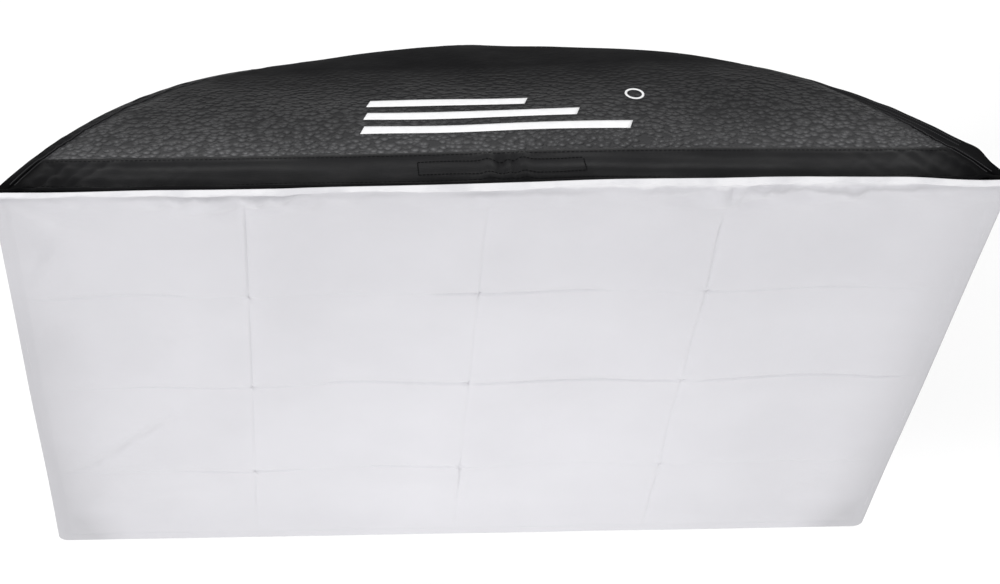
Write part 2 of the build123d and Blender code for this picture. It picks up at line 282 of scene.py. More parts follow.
def node(mat, kind, **values):
    """Adds a shader node; values are its properties, or inputs where the name is an input's."""
    n = mat.node_tree.nodes.new("ShaderNode" + kind)
    for key, value in values.items():
        label = key.replace("_", " ").title() if key.islower() else key
        if hasattr(n, key):
            setattr(n, key, value)
        else:
            n.inputs[label].default_value = value
    return n


def link(mat, source, target):
    mat.node_tree.links.new(source, target)


def coords(mat, scale=(1, 1, 1)):
    where = node(mat, "TexCoord")
    mapping = node(mat, "Mapping")
    mapping.inputs["Scale"].default_value = scale
    link(mat, where.outputs["Object"], mapping.inputs["Vector"])
    return mapping.outputs["Vector"]


def axis(mat, letter):
    """Place along X, Y or Z of the object."""
    parts = node(mat, "SeparateXYZ")
    link(mat, coords(mat), parts.inputs[0])
    return parts.outputs[letter]


def feed(mat, value, socket):
    """Sets an input to a number, or links it to another node's output."""
    if isinstance(value, (int, float)):
        socket.default_value = value
    else:
        link(mat, value, socket)


def math_node(mat, operation, a, b=0.0):
    n = node(mat, "Math", operation=operation)
    feed(mat, a, n.inputs[0])
    feed(mat, b, n.inputs[1])
    return n.outputs[0]


def map_range(mat, value, lo, hi, to_lo, to_hi):
    n = node(mat, "MapRange")
    link(mat, value, n.inputs["Value"])
    for key, number in (("From Min", lo), ("From Max", hi), ("To Min", to_lo), ("To Max", to_hi)):
        n.inputs[key].default_value = number
    return n.outputs["Result"]


def noise(mat, scale, detail=3.0, roughness=0.55, stretch=(1, 1, 1)):
    n = node(mat, "TexNoise", scale=scale, detail=detail, roughness=roughness)
    link(mat, coords(mat, stretch), n.inputs["Vector"])
    return n.outputs["Fac"]


def weave(mat, pitch):
    """Height of a weave: threads that cross in X, Y and Z."""
    place_at = coords(mat)
    heights = []
    for direction in ("X", "Y", "Z"):
        w = node(mat, "TexWave", wave_type="BANDS", bands_direction=direction, scale=1 / pitch / 2)
        w.inputs["Distortion"].default_value = 0.4
        w.inputs["Detail"].default_value = 1.0
        link(mat, place_at, w.inputs["Vector"])
        heights.append(w.outputs["Fac"])
    return math_node(mat, "ADD", math_node(mat, "ADD", heights[0], heights[1]), heights[2])


def bump(mat, layers):
    """Chains bump layers of (height, strength, distance) into the surface."""
    last = None
    for height, strength, distance in layers:
        b = node(mat, "Bump")
        feed(mat, strength, b.inputs["Strength"])
        b.inputs["Distance"].default_value = distance
        link(mat, height, b.inputs["Height"])
        if last:
            link(mat, last, b.inputs["Normal"])
        last = b.outputs["Normal"]
    link(mat, last, surface(mat).inputs["Normal"])


def shade(color, factor):
    """A colour made darker or lighter by a factor."""
    return tuple(c * factor for c in color)


def tint(mat, fac, dark, light):
    """Base colour mixed between two colours by a 0 to 1 value."""
    mix = node(mat, "Mix", data_type="RGBA")
    link(mat, fac, mix.inputs["Factor"])
    mix.inputs[6].default_value = (*dark, 1)
    mix.inputs[7].default_value = (*light, 1)
    link(mat, mix.outputs[2], surface(mat).inputs["Base Color"])


def roughen(mat, fac, lo, hi):
    link(mat, map_range(mat, fac, 0.25, 0.75, lo, hi), surface(mat).inputs["Roughness"])


PEBBLES_PER_METRE = 150.0


def pebbled_nylon():
    """Coated fabric: pebbled, and greyed near the front band by painted light, with painted highlights on its
    pebbles; plain and matt black towards the rear.
    """
    mat = material("pebbled_nylon", (0.02, 0.02, 0.022), 0.42, specular=0.12)
    warp = node(mat, "TexNoise", scale=70.0, detail=1.0)
    link(mat, coords(mat), warp.inputs["Vector"])
    shift = node(mat, "VectorMath", operation="MULTIPLY_ADD")
    link(mat, warp.outputs["Color"], shift.inputs[0])
    shift.inputs[1].default_value = (0.003, 0.003, 0.003)
    link(mat, coords(mat, (1.0, 1.15, 1.15)), shift.inputs[2])
    cells = node(mat, "TexVoronoi", feature="DISTANCE_TO_EDGE", scale=PEBBLES_PER_METRE)
    domes = node(mat, "TexVoronoi", feature="SMOOTH_F1", scale=PEBBLES_PER_METRE)
    domes.inputs["Smoothness"].default_value = 0.6
    for texture in (cells, domes):
        link(mat, shift.outputs[0], texture.inputs["Vector"])
    groove = map_range(mat, cells.outputs["Distance"], 0.0, 0.30, 0.55, 1.0)
    dome = map_range(mat, domes.outputs["Distance"], 0.0, 0.7, 1.0, 0.0)
    pebble = math_node(mat, "MULTIPLY", groove, dome)
    depth = axis(mat, "Y")
    patches = map_range(mat, noise(mat, 7.0, 1.0), 0.35, 0.65, 0.65, 1.0)
    fade = map_range(mat, depth, -0.32, -0.15, 1.0, 0.08)
    strength = math_node(mat, "MULTIPLY", fade, patches)
    bump(mat, [(pebble, strength, 0.0085), (noise(mat, 900.0, 2.0), 0.12, 0.0003)])
    # painted light: greyest near the front band, fading to black towards the rear
    painted_light = math_node(mat, "POWER", map_range(mat, depth, -0.345, -0.08, 1.0, 0.0), 3.6)
    # painted highlights on the pebbles' domes and painted shade in the grooves between them
    grey = math_node(mat, "MULTIPLY", painted_light, map_range(mat, pebble, 0.12, 0.70, 0.22, 1.0))
    tint(mat, grey, (0.0058, 0.0058, 0.0064), (0.185, 0.185, 0.192))
    roughen(mat, noise(mat, 35.0), 0.34, 0.46)
    mix_matt(mat, map_range(mat, depth, -0.33, -0.15, 0.0, 0.90))
    return mat


def mix_matt(mat, fac):
    """Mixes the surface with a matt one of the same colour."""
    bsdf = surface(mat)
    matt = node(mat, "BsdfDiffuse")
    mix = node(mat, "MixShader")
    link(mat, bsdf.inputs["Base Color"].links[0].from_socket, matt.inputs["Color"])
    link(mat, bsdf.inputs["Normal"].links[0].from_socket, matt.inputs["Normal"])
    link(mat, fac, mix.inputs["Fac"])
    link(mat, bsdf.outputs["BSDF"], mix.inputs[1])
    link(mat, matt.outputs["BSDF"], mix.inputs[2])
    link(mat, mix.outputs["Shader"], mat.node_tree.nodes["Material Output"].inputs["Surface"])


def smooth_nylon(name, color, pitch):
    """Black woven fabric, darkened by painted shade at the front edge and towards its far left and right,
    where it is also most matt.
    """
    mat = material(name, color, 0.46, specular=0.13)
    cloudy = noise(mat, 24.0, 4.0)
    bump(mat, [(cloudy, 0.25, 0.002), (weave(mat, pitch), 0.25, 0.00025)])
    # painted shade of the folds towards the far left and right
    corner = map_range(mat, math_node(mat, "ABSOLUTE", axis(mat, "X")), 0.37, 0.44, 1.0, 0.15)
    # painted shade along the front edge, where the band turns down
    front = map_range(mat, axis(mat, "Y"), -DEPTH + 0.004, -DEPTH + 0.030, 0.35, 1.0)
    # 1 where the fabric is lit, lower where shade is painted
    painted_light = math_node(mat, "MULTIPLY", corner, front)
    cloud = map_range(mat, noise(mat, 60.0, 3.0), 0.3, 0.7, 0.5, 1.0)
    tint(mat, math_node(mat, "MULTIPLY", cloud, painted_light), shade(color, 0.3), shade(color, 1.35))
    roughen(mat, cloudy, 0.36, 0.50)
    patches = map_range(mat, noise(mat, 30.0, 2.0), 0.35, 0.65, -0.14, 0.10)
    matt = math_node(mat, "ADD", map_range(mat, painted_light, 0.1, 1.0, 0.80, 0.0), patches)
    mix_matt(mat, map_range(mat, matt, 0.0, 1.0, 0.0, 1.0))
    return mat


WHITE_LOSS = 0.035
FRONT_WHITE = (0.640, 0.634, 0.666)
# colour of the painted shade on the front cloth and of the painted shadow under its hem
FRONT_DARK = shade(FRONT_WHITE, 0.70)
# the doubled hem's white, partly a painted highlight
HEM_WHITE = (0.72, 0.715, 0.735)
HEM_Z = 0.3020


def woven_white(name, color, pitch):
    mat = material(name, color, 0.85, specular=0.25, sheen=0.25)
    layers = [(noise(mat, 14.0, 4.0), 0.18, 0.003), (noise(mat, 120.0, 3.0), 0.12, 0.0006)]
    bump(mat, layers + [(weave(mat, pitch), 0.2, 0.0002)])
    return mat


def cloudy_glow(mat, cloud_lo, cloud_hi, peak):
    """Cloudy tone, and a painted glow with its peak low in the middle of the front."""
    cloud = map_range(mat, noise(mat, 8.0, 4.0), 0.3, 0.7, cloud_lo, cloud_hi)
    centre = node(mat, "VectorMath", operation="DISTANCE")
    link(mat, coords(mat), centre.inputs[0])
    centre.inputs[1].default_value = (0.02, -0.39, -0.16)
    return math_node(mat, "ADD", cloud, map_range(mat, centre.outputs["Value"], 0.08, 0.46, peak, 0.0))


def white_cloth(name, color, pitch):
    mat = woven_white(name, color, pitch)
    # cloudy tone with a painted glow low in the middle
    tint(mat, cloudy_glow(mat, 0.0, 0.25, 0.75), shade(color, 1 - WHITE_LOSS), color)
    return mat


def front_white_cloth():
    """White cloth with painted shade towards its sides and lower corners, a painted glow low in its middle,
    and a whiter hem on top.
    """
    mat = woven_white("front_white_cloth", FRONT_WHITE, 0.0009)
    light = cloudy_glow(mat, 0.52, 0.68, 0.36)
    up = axis(mat, "Z")
    # painted shade towards the sides, strongest low down, and in the lower corners
    out = map_range(mat, math_node(mat, "ABSOLUTE", axis(mat, "X")), 0.37, 0.458, 0.0, 1.0)
    low = map_range(mat, up, 0.30, -0.30, 0.35, 1.0)
    side = math_node(mat, "MULTIPLY", math_node(mat, "POWER", out, 2.0), low)
    under = map_range(mat, up, -0.24, -0.305, 0.0, 0.6)
    corner = math_node(mat, "MULTIPLY", map_range(mat, out, 0.0, 0.6, 0.15, 1.0), under)
    light = math_node(mat, "SUBTRACT", light, math_node(mat, "ADD", side, corner))
    tint(mat, light, FRONT_DARK, FRONT_WHITE)
    whiten_hem(mat)
    return mat


def whiten_hem(mat):
    """A patchy whiter band along the top edge, partly the doubled hem and partly a painted highlight on its
    roll, with a painted shadow line below it.
    """
    wander = math_node(mat, "MULTIPLY", noise(mat, 22.0, 4.0), 0.012)
    height = math_node(mat, "ADD", axis(mat, "Z"), wander)
    doubled_and_highlit = map_range(mat, height, HEM_Z, HEM_Z + 0.003, 0.0, 1.0)
    painted_light = map_range(mat, noise(mat, 26.0, 4.0), 0.36, 0.58, 0.35, 1.0)
    off_line = math_node(mat, "ABSOLUTE", math_node(mat, "SUBTRACT", height, HEM_Z - 0.004))
    # painted shadow under the hem
    line = map_range(mat, off_line, 0.0, 0.005, 0.9, 0.0)
    broken = map_range(mat, noise(mat, 9.0, 2.0), 0.40, 0.60, 0.0, 1.0)
    blend_over(mat, math_node(mat, "MULTIPLY", line, broken), FRONT_DARK)
    blend_over(mat, math_node(mat, "MULTIPLY", doubled_and_highlit, painted_light), HEM_WHITE)


def blend_over(mat, fac, color):
    """Lays a colour over the base colour by a 0 to 1 value."""
    base = surface(mat).inputs["Base Color"]
    mix = node(mat, "Mix", data_type="RGBA")
    link(mat, fac, mix.inputs["Factor"])
    link(mat, base.links[0].from_socket, mix.inputs[6])
    mix.inputs[7].default_value = (*color, 1)
    link(mat, mix.outputs[2], base)


def silver_cloth():
    mat = material("silver_cloth", (0.72, 0.73, 0.74), 0.34, metallic=0.9)
    crinkle = node(mat, "TexVoronoi", feature="F1", scale=70.0)
    link(mat, coords(mat), crinkle.inputs["Vector"])
    bump(mat, [(crinkle.outputs["Distance"], 0.35, 0.002), (noise(mat, 260.0, 4.0), 0.3, 0.0006)])
    patches = map_range(mat, noise(mat, 40.0), 0.3, 0.7, 0.0, 1.0)
    tint(mat, patches, (0.60, 0.61, 0.62), (0.80, 0.81, 0.82))
    roughen(mat, noise(mat, 90.0), 0.28, 0.45)
    return mat


def fastener_tape(name, color):
    mat = material(name, color, 0.9, specular=0.2, sheen=0.4)
    loops = node(mat, "TexVoronoi", feature="F1", scale=900.0)
    link(mat, coords(mat), loops.inputs["Vector"])
    bump(mat, [(loops.outputs["Distance"], 0.8, 0.0007)])
    tint(mat, loops.outputs["Distance"], shade(color, 1.6), shade(color, 0.6))
    return mat


def thread(name, color):
    mat = material(name, color, 0.8, specular=0.1)
    twist = node(mat, "TexWave", wave_type="BANDS", bands_direction="DIAGONAL", scale=900.0)
    link(mat, coords(mat), twist.inputs["Vector"])
    bump(mat, [(twist.outputs["Fac"], 0.4, 0.0002)])
    return mat


def cast_alloy():
    mat = material("powder_coated_alloy", (0.028, 0.028, 0.030), 0.45, metallic=0.2)
    grit = noise(mat, 1500.0, 2.0)
    bump(mat, [(grit, 0.35, 0.0003), (noise(mat, 60.0, 3.0), 0.08, 0.001)])
    mottle = map_range(mat, noise(mat, 180.0, 4.0), 0.35, 0.7, 0.0, 1.0)
    tint(mat, mottle, (0.022, 0.022, 0.024), (0.040, 0.040, 0.042))
    roughen(mat, grit, 0.38, 0.56)
    return mat


def brushed_metal(name, color, roughness, axis_stretch=(8, 1400, 8)):
    mat = material(name, color, roughness, metallic=1.0)
    lines = noise(mat, 1.0, 4.0, 0.7, axis_stretch)
    bump(mat, [(lines, 0.16, 0.0003)])
    tint(mat, map_range(mat, lines, 0.3, 0.7, 0.0, 1.0), shade(color, 0.82), color)
    roughen(mat, lines, roughness * 0.8, roughness * 1.3)
    return mat


def moulded(name, color, roughness, mottle=0.2):
    mat = material(name, color, roughness)
    grit = noise(mat, 700.0, 2.0)
    bump(mat, [(grit, 0.3, 0.0003)])
    patches = map_range(mat, noise(mat, 120.0), 0.3, 0.7, 0.0, 1.0)
    tint(mat, patches, shade(color, 1 - mottle), shade(color, 1 + mottle))
    roughen(mat, grit, roughness * 0.85, roughness * 1.2)
    return mat


PEBBLED = pebbled_nylon()
NYLON = smooth_nylon("smooth_nylon", (0.0058, 0.0058, 0.0066), 0.0011)
BINDING = smooth_nylon("binding_tape", (0.006, 0.006, 0.007), 0.0016)
CLOTH = front_white_cloth()
BAFFLE_CLOTH = white_cloth("baffle_white_cloth", (0.78, 0.78, 0.79), 0.0006)
SILVER = silver_cloth()
BLACK_TAPE = fastener_tape("black_fastener_tape", (0.012, 0.012, 0.013))
WHITE_TAPE = fastener_tape("white_fastener_tape", (0.62, 0.62, 0.63))
WHITE_ELASTIC = white_cloth("white_elastic", (0.70, 0.70, 0.71), 0.0012)
BLACK_THREAD = thread("black_thread", (0.0025, 0.0025, 0.0028))
GREY_THREAD = thread("grey_thread", (0.050, 0.050, 0.052))
WHITE_THREAD = thread("white_thread", (0.75, 0.75, 0.76))
PRINT = moulded("white_print", (0.90, 0.90, 0.91), 0.5, 0.04)
ALLOY = cast_alloy()
INSERT_STEEL = brushed_metal("insert_steel", (0.56, 0.56, 0.57), 0.28)
ROD_STEEL = brushed_metal("rod_steel", (0.52, 0.52, 0.53), 0.25, (60, 60, 60))
CHROME = brushed_metal("sleeve_chrome", (0.70, 0.70, 0.71), 0.12)
SCREW_STEEL = brushed_metal("screw_steel", (0.34, 0.34, 0.35), 0.32)
BRASS = brushed_metal("pad_brass", (0.62, 0.45, 0.20), 0.3)
PLASTIC = moulded("knob_plastic", (0.018, 0.018, 0.020), 0.5)
RUBBER = moulded("tip_rubber", (0.022, 0.022, 0.022), 0.75)


def own(piece, slot, *replaced, body="softbox"):
    """Gives a piece its body and hides the CAD parts it stands for; slot is not used."""
    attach(piece, body)
    if replaced:
        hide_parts(*replaced)


# ---- shell fabric
EDGE_GAP = 0.0012
STITCH_PITCH = 0.0042
STITCH_LENGTH = 0.0030
FINE_THREAD = 0.0006
THREAD = 0.0008
THICK_THREAD = 0.0011


def span(side, y, gap, count):
    """Places across a side, from edge to edge, leaving gap at both."""
    half, _, _ = station(side, y)
    s = np.linspace(-1, 1, count)
    return s[:, None] * (1 - gap / half)[None, :]


def skin(name, side, t, y, lift, thick, mat):
    """Closed thin sheet over a side; its outer face is lift metres off the ideal surface."""
    return slab(name, lifted(side, t, y, lift), lifted(side, t, y, lift - thick), mat)


def panel(side):
    y = np.linspace(LIP_REAR_Y - 0.006, PANEL_REAR_Y, 90)
    t = span(side, y, EDGE_GAP, 150 if side in ("top", "bottom") else 100)
    tucked = 0.0035 * smooth(LIP_REAR_Y - y, 0.0005, 0.004)
    lift = slack(side, t, y[None, :]) - tucked[None, :]
    piece = skin(f"shell_{side}", side, t, y[None, :], lift, SKIN, PEBBLED)
    own(piece, "panel_fabric", f"panel_{side}")


def lining(side):
    y = np.linspace(LIP_REAR_Y + 0.002, PANEL_REAR_Y - 0.002, 70)
    t = span(side, y, 0.008, 90)
    crinkle = 0.0004 * ripple(t, y[None, :], SEED[side] + 7, 0.05)
    lift = slack(side, t, y[None, :]) - LINING_DROP + crinkle
    piece = skin(f"silver_{side}", side, t, y[None, :], lift, LINING, SILVER)
    own(piece, "silver_lining", f"lining_{side}")


def lip_fold(side, t, y):
    """Folds of the front band: gathered at its corners, nearly flat along its middle, clear of the tapes."""
    half, _, _ = station(side, y)
    u = t * half
    edge = (1 - np.abs(t)) * half
    depth = (y + DEPTH) / LIP_DEPTH
    corner = np.exp(-edge / 0.05)
    folds = 0.0026 * corner * ripple(u + 0.6 * (y + DEPTH), u * 0.3, SEED[side] + 3, 0.026)
    folds = folds + 0.0052 * corner * np.abs(ripple(u - 0.8 * (y + DEPTH), u * 0.3, SEED[side] + 6, 0.030))
    waves = 0.0010 * ripple(u, y * 0.5, SEED[side] + 4, 0.11)
    lengthwise = 0.0008 * ripple(u * 0.15, y, SEED[side] + 5, 0.02)
    hold = smooth(edge, 0.006, 0.03) * smooth(1 - depth, 0, 0.16)
    total = (folds + waves + lengthwise) * hold
    if side == "top":
        total = total + pinch(u, depth)
    lowest = -0.0009 - 0.006 * smooth(depth, 0.32, 0.44)
    return np.maximum(total, lowest) + bow(side, u)


def pinch(u, depth):
    """The tuck across the middle of the top band, where the sewn patch is pulled together."""
    tuck = -0.0030 * hump(u, 0.005) - 0.0018 * hump(u - 0.012, 0.0035)
    shoulders = 0.0026 * (hump(u - 0.020, 0.006) + hump(u + 0.012, 0.006))
    shoulders = shoulders + 0.0014 * hump(u - 0.0065, 0.0025)
    middle = smooth(depth, 0.28, 0.42) * smooth(1 - depth, 0.06, 0.2)
    return tuck * middle + shoulders * smooth(depth, 0.0, 0.1) * smooth(1 - depth, 0.0, 0.08)


def over_panel(y):
    """Rise of the band's rear edge over the panel."""
    return 0.0011 * smooth(y, LIP_REAR_Y - 0.012, LIP_REAR_Y)


def lip(side):
    y = np.linspace(-DEPTH, LIP_REAR_Y + 0.003, 22)
    t = span(side, y, 0.0004, 440 if side in ("top", "bottom") else 300)
    lift = lip_fold(side, t, y[None, :]) + over_panel(y)[None, :]
    piece = skin(f"band_{side}", side, t, y[None, :], lift + 0.0002, BAND, NYLON)
    own(piece, "lip_fabric", f"lip_{side}")


def lip_hem(side):
    """Rolled edge along the front of the band, and the raised seam where the band meets the panel."""
    count = 300 if side in ("top", "bottom") else 200
    for name, y0, radius_across, radius_up, lift0 in (
        ("front_roll", -DEPTH + 0.0022, 0.0026, 0.0013, 0.0004),
        ("join_fold", LIP_REAR_Y + 0.0022, 0.0013, 0.0007, 0.0007),
    ):
        y = np.full(count, y0)
        half, _, _ = station(side, y)
        t = np.linspace(-1, 1, count) * (1 - 0.002 / half)
        base = lip_fold(side, t, y) if name == "front_roll" else 0 * t
        rings = []
        for a in np.arange(8) * math.tau / 8:
            lift = base + lift0 + radius_up * math.sin(a)
            rings.append(lifted(side, t, y + radius_across * math.cos(a), lift))
        own(tube(f"{name}_{side}", np.stack(rings, 1), NYLON), "lip_fabric")


def seam_stitches(side):
    """Stitch rows beside the band's two seams."""
    for name, y0 in (("stitch_join", LIP_REAR_Y - 0.0020), ("stitch_front", -DEPTH + 0.0065)):
        half = float(station(side, np.array([y0]))[0][0])
        n = int((2 * half - 0.03) / STITCH_PITCH)
        start = (np.arange(n) - n / 2) * STITCH_PITCH / half
        stop = start + STITCH_LENGTH / half
        y = np.full(n, y0)
        rise = 0.0003 + float(over_panel(y0))
        a = lifted(side, start, y, lip_fold(side, start, y) + rise)
        b = lifted(side, stop, y, lip_fold(side, stop, y) + rise)
        row = dashes(f"{name}_{side}", a, b, normal(side, start, y), FINE_THREAD, BLACK_THREAD)
        own(row, "lip_fabric")


for side_name in SIDES:
    panel(side_name)
    lining(side_name)
    lip(side_name)
    lip_hem(side_name)
    seam_stitches(side_name)


# ---- sewn patch in the top band
PATCH_W = 0.150
PATCH_Y = (-0.3770, -0.3560)
PATCH_THICK = 0.0012
PATCH_PITCH = 0.0034
PATCH_STITCH = 0.0026


def patch_wander(u):
    """How far the long stitch rows stray from straight."""
    return 0.0006 * math.sin(u * 90)


def patch():
    """The fastening patch behind the top band, and its stitches, which show on the outside."""
    y0, y1 = PATCH_Y
    y = np.linspace(y0, y1, 16)[None, :]
    t = np.linspace(-PATCH_W / 2, PATCH_W / 2, 120)[:, None] / station("top", y)[0]
    inside = skin("patch_inside", "top", t, y, lip_fold("top", t, y) - 0.0014, PATCH_THICK, BLACK_TAPE)
    own(inside, "fastener_tape", "lip_patch")
    starts, ends = [], []
    for row in PATCH_Y:
        for k in range(int(PATCH_W / PATCH_PITCH)):
            u0 = -PATCH_W / 2 + k * PATCH_PITCH
            u1 = u0 + PATCH_STITCH
            starts.append((u0, row + patch_wander(u0)))
            ends.append((u1, row + patch_wander(u1)))
    for u0 in (-PATCH_W / 2, PATCH_W / 2):
        for k in range(int((y1 - y0) / PATCH_PITCH)):
            starts.append((u0, y0 + k * PATCH_PITCH))
            ends.append((u0, y0 + k * PATCH_PITCH + PATCH_STITCH))
    starts, ends = np.array(starts), np.array(ends)

    def on_band(p):
        t = p[:, 0] / station("top", p[:, 1])[0]
        return lifted("top", t, p[:, 1], lip_fold("top", t, p[:, 1]) + 0.0002)

    t = starts[:, 0] / station("top", starts[:, 1])[0]
    facing = normal("top", t, starts[:, 1])
    rows = dashes("patch_stitches", on_band(starts), on_band(ends), facing, THICK_THREAD, BLACK_THREAD)
    own(rows, "lip_fabric")


patch()


# ---- corner seams: bound welts over the rods
WING = 0.0085
WELT_STATIONS = 200
FIN_THICK = 0.0016
FIN_TALL = {1: 0.0068, -1: 0.0018}
FIN_EAR = 0.0030
FIN_RISE = 0.0016


def fin_height(s, sx):
    """Height of a welt's fin, s metres back from the front; those on the right stand up behind the corner."""
    height = FIN_TALL[sx] * (0.35 + 0.65 * smooth(s, 0.004, 0.06)) + 0.0003 * ripple(s, 0 * s, 5 + sx, 0.03)
    if sx > 0:
        height = height + FIN_EAR * hump(s - 0.040, 0.012) + FIN_RISE * between(s, 0.18, 0.24, 0.28, 0.32)
    return height


def welt(name, sx, sz):
    """Binding sewn over a corner seam: a flat wing on each panel and a narrow fin between them."""
    y = np.linspace(-DEPTH + 0.0005, PANEL_REAR_Y + 0.002, WELT_STATIONS)
    flat, tall = ("top" if sz > 0 else "bottom"), ("right" if sx > 0 else "left")
    ends = {flat: sx, tall: sz}
    corner = bare(flat, np.full(len(y), sx), y)
    over_band = 0.0013 * between(y, -DEPTH, LIP_REAR_Y - 0.01, LIP_REAR_Y, LIP_REAR_Y + 0.008)

    def beside(side, away, lift):
        t = ends[side] * (1 - away / station(side, y)[0])
        cloth = np.where(y < LIP_REAR_Y, lip_fold(side, t, y), slack(side, t, y))
        return lifted(side, t, y, cloth + over_band + lift)

    out = normal(flat, np.full(len(y), sx), y) + normal(tall, np.full(len(y), sz), y)
    out /= np.linalg.norm(out, axis=-1, keepdims=True)
    across = beside(flat, 0.01, 0) - beside(tall, 0.01, 0)
    across /= np.linalg.norm(across, axis=-1, keepdims=True)
    s = y + DEPTH
    fin = fin_height(s, sx)[:, None]
    lean = (0.0006 * ripple(s, 0 * s, 17 + sz, 0.12))[:, None] * across
    cheek = across * FIN_THICK / 2
    rings = [
        beside(flat, WING, 0.0001),
        beside(flat, WING, 0.0007),
        beside(flat, 0.0022, 0.0009),
        corner + cheek + out * 0.0016,
        corner + cheek + out * fin * 0.8 + lean,
        corner + cheek * 0.5 + out * fin + lean,
        corner - cheek * 0.5 + out * fin + lean,
        corner - cheek + out * fin * 0.8 + lean,
        corner - cheek + out * 0.0016,
        beside(tall, 0.0022, 0.0009),
        beside(tall, WING, 0.0007),
        beside(tall, WING, 0.0001),
        corner + out * 0.0002,
    ]
    own(tube(f"welt_{name}", np.stack(rings, 1), BINDING), "seam_binding", f"seam_welt_{name}")

    def sew(row, line, first, filled, facing, width):
        pick = np.arange(first, len(y) - 5)
        stops = line[pick] + (line[pick + 1] - line[pick]) * filled
        own(dashes(row, line[pick], stops, facing[pick], width, GREY_THREAD), "seam_binding")

    # stitch rows on the fin, partly a painted highlight along the binding's lit edge
    for part in (0.30, 0.72):
        line = corner + cheek * 1.02 + out * fin * part + lean * part
        sew(f"fin_stitch_{name}_{int(part * 100)}", line, 30, 0.70, across, FINE_THREAD)
    for side in (flat, tall):
        facing = normal(side, np.full(len(y), ends[side]), y)
        for away, lift in ((0.0068, 0.0008), (0.0110, 0.0001)):
            line = beside(side, away, lift)
            sew(f"welt_stitch_{name}_{side}_{int(away * 1e4)}", line, 6, 0.74, facing, THREAD)


# ---- plain printed stripes on the top panel
def printed():
    """Three slanted stripes and a ring, with no lettering."""
    made = []

    def on_top(u, y, lift):
        t = u / station("top", y)[0]
        return lifted("top", t, y, slack("top", t, y) + lift)

    for y0, u0, u1 in ((-0.2985, -0.122, 0.128), (-0.2735, -0.118, 0.082), (-0.2485, -0.114, 0.036)):
        u, y = np.meshgrid(np.linspace(u0, u1, 60), np.linspace(y0 - 0.0062, y0 + 0.0062, 6), indexing="ij")
        u = u + (y - y0) * 0.35
        made.append(slab("stripe", on_top(u, y, 0.0005), on_top(u, y, 0.00015), PRINT))
    turn = np.linspace(0, math.tau, 49)[:-1]
    rings = []
    for radius, lift in ((0.0092, 0.00015), (0.0092, 0.0005), (0.0070, 0.0005), (0.0070, 0.00015)):
        rings.append(on_top(0.141 + radius * np.cos(turn), -0.240 + 1.25 * radius * np.sin(turn), lift))
    made.append(tube("ring", np.stack(rings, 1), PRINT, closed=True))
    own(join("print_stripes", made), "panel_fabric")


printed()


# ---- gathered cuff round the speed ring
CUFF_FRONT_Y = -0.0385
CUFF_REAR_Y = -0.0128
CUFF_R = 0.0794
CUFF_THICK = 0.0009
GATHER_PITCH = 0.015
ELASTIC_Y = -0.0172
MIDDLE_ANGLE = {"right": 0, "top": 90, "left": 180, "bottom": 270}


def around(count):
    """For each side in turn, its places across and the angles of those places round the ring."""
    flat = int(count * 0.30)
    tall = count // 2 - flat
    for side, n, way in (("top", flat, 1), ("right", tall, -1), ("bottom", flat, -1), ("left", tall, 1)):
        t = way * (2 * np.arange(n) / n - 1)
        spread = math.degrees(DIAGONAL)
        if side in ("top", "bottom"):
            spread = 90 - spread
        turn = spread * t if side in ("right", "bottom") else -spread * t
        yield side, t, np.radians(MIDDLE_ANGLE[side] + turn)


def circle(r, angle, y):
    return np.stack([r * np.cos(angle), np.full(len(angle), y), r * np.sin(angle)], -1)


def cuff():
    """Fabric that follows the panels' rear edges at its front and the round ring at its rear."""
    steps = 26
    sides = list(around(720))
    turn = np.concatenate([angle for _, _, angle in sides])
    arc = np.unwrap(turn) * CUFF_R
    gathers = 0.0013 * (np.sin(arc * math.tau / GATHER_PITCH) + 0.5 * ripple(arc, 0 * arc, 141, 0.02))
    rows = []
    for s in np.linspace(0, 1, steps):
        y = CUFF_FRONT_Y + (CUFF_REAR_Y - CUFF_FRONT_Y) * s
        on_panel = min(y, PANEL_REAR_Y - 0.0005)
        front = []
        for side, t, _ in sides:
            depth = np.full(len(t), on_panel)
            front.append(lifted(side, t, depth, slack(side, t, depth) + 0.0014))
        blend = float(smooth(s, 0.12, 0.62))
        ring = circle(CUFF_R + smooth(s, 0.15, 0.7) * gathers, turn, y)
        row = np.concatenate(front) * (1 - blend) + ring * blend
        row[:, 1] = y
        reach = np.hypot(row[:, 0], row[:, 2])
        bulge = 0.0022 * math.sin(math.pi * s) ** 2
        row[:, [0, 2]] *= ((reach + bulge) / reach)[:, None]
        rows.append(row)
    rows = np.stack(rows, 1)
    reach = np.hypot(rows[..., 0], rows[..., 2])
    inner = rows.copy()
    inner[..., [0, 2]] *= ((reach - CUFF_THICK) / reach)[..., None]
    rings = np.concatenate([rows, inner[:, ::-1]], 1)
    own(tube("rear_cuff", rings, NYLON, closed=True), "panel_fabric", "rear_collar")


def cuff_elastic():
    angle = np.linspace(0, math.tau, 361)[:-1]
    pulled = 0.0004 * np.sin(angle * 92) + 0.0002 * ripple(angle, 0 * angle, 143, 0.3)
    rings = []
    for a in np.arange(10) * math.tau / 10:
        r = CUFF_R + 0.0012 + pulled + 0.0011 * math.sin(a)
        rings.append(circle(r, angle, ELASTIC_Y + 0.0036 * math.cos(a)))
    own(tube("cuff_elastic", np.stack(rings, 1), BINDING, closed=True), "seam_binding")


cuff()
cuff_elastic()


# ---- sewn pockets for the rod tips
ROD_INSET = 0.011
POCKET_R = 0.0045
POCKET_IN_R = 0.0038


def on_rod(sx, sz, distance):
    """Points on a rod's centre line, at distances back from the front corner."""
    beta = SEAM_ANGLE + distance / BOW_R
    reach = BOW_R - ROD_INSET
    r = ARC_R + reach * np.cos(beta)
    y = ARC_Y + reach * np.sin(beta)
    return np.stack([sx * r * math.cos(DIAGONAL), y, sz * r * math.sin(DIAGONAL)], -1)


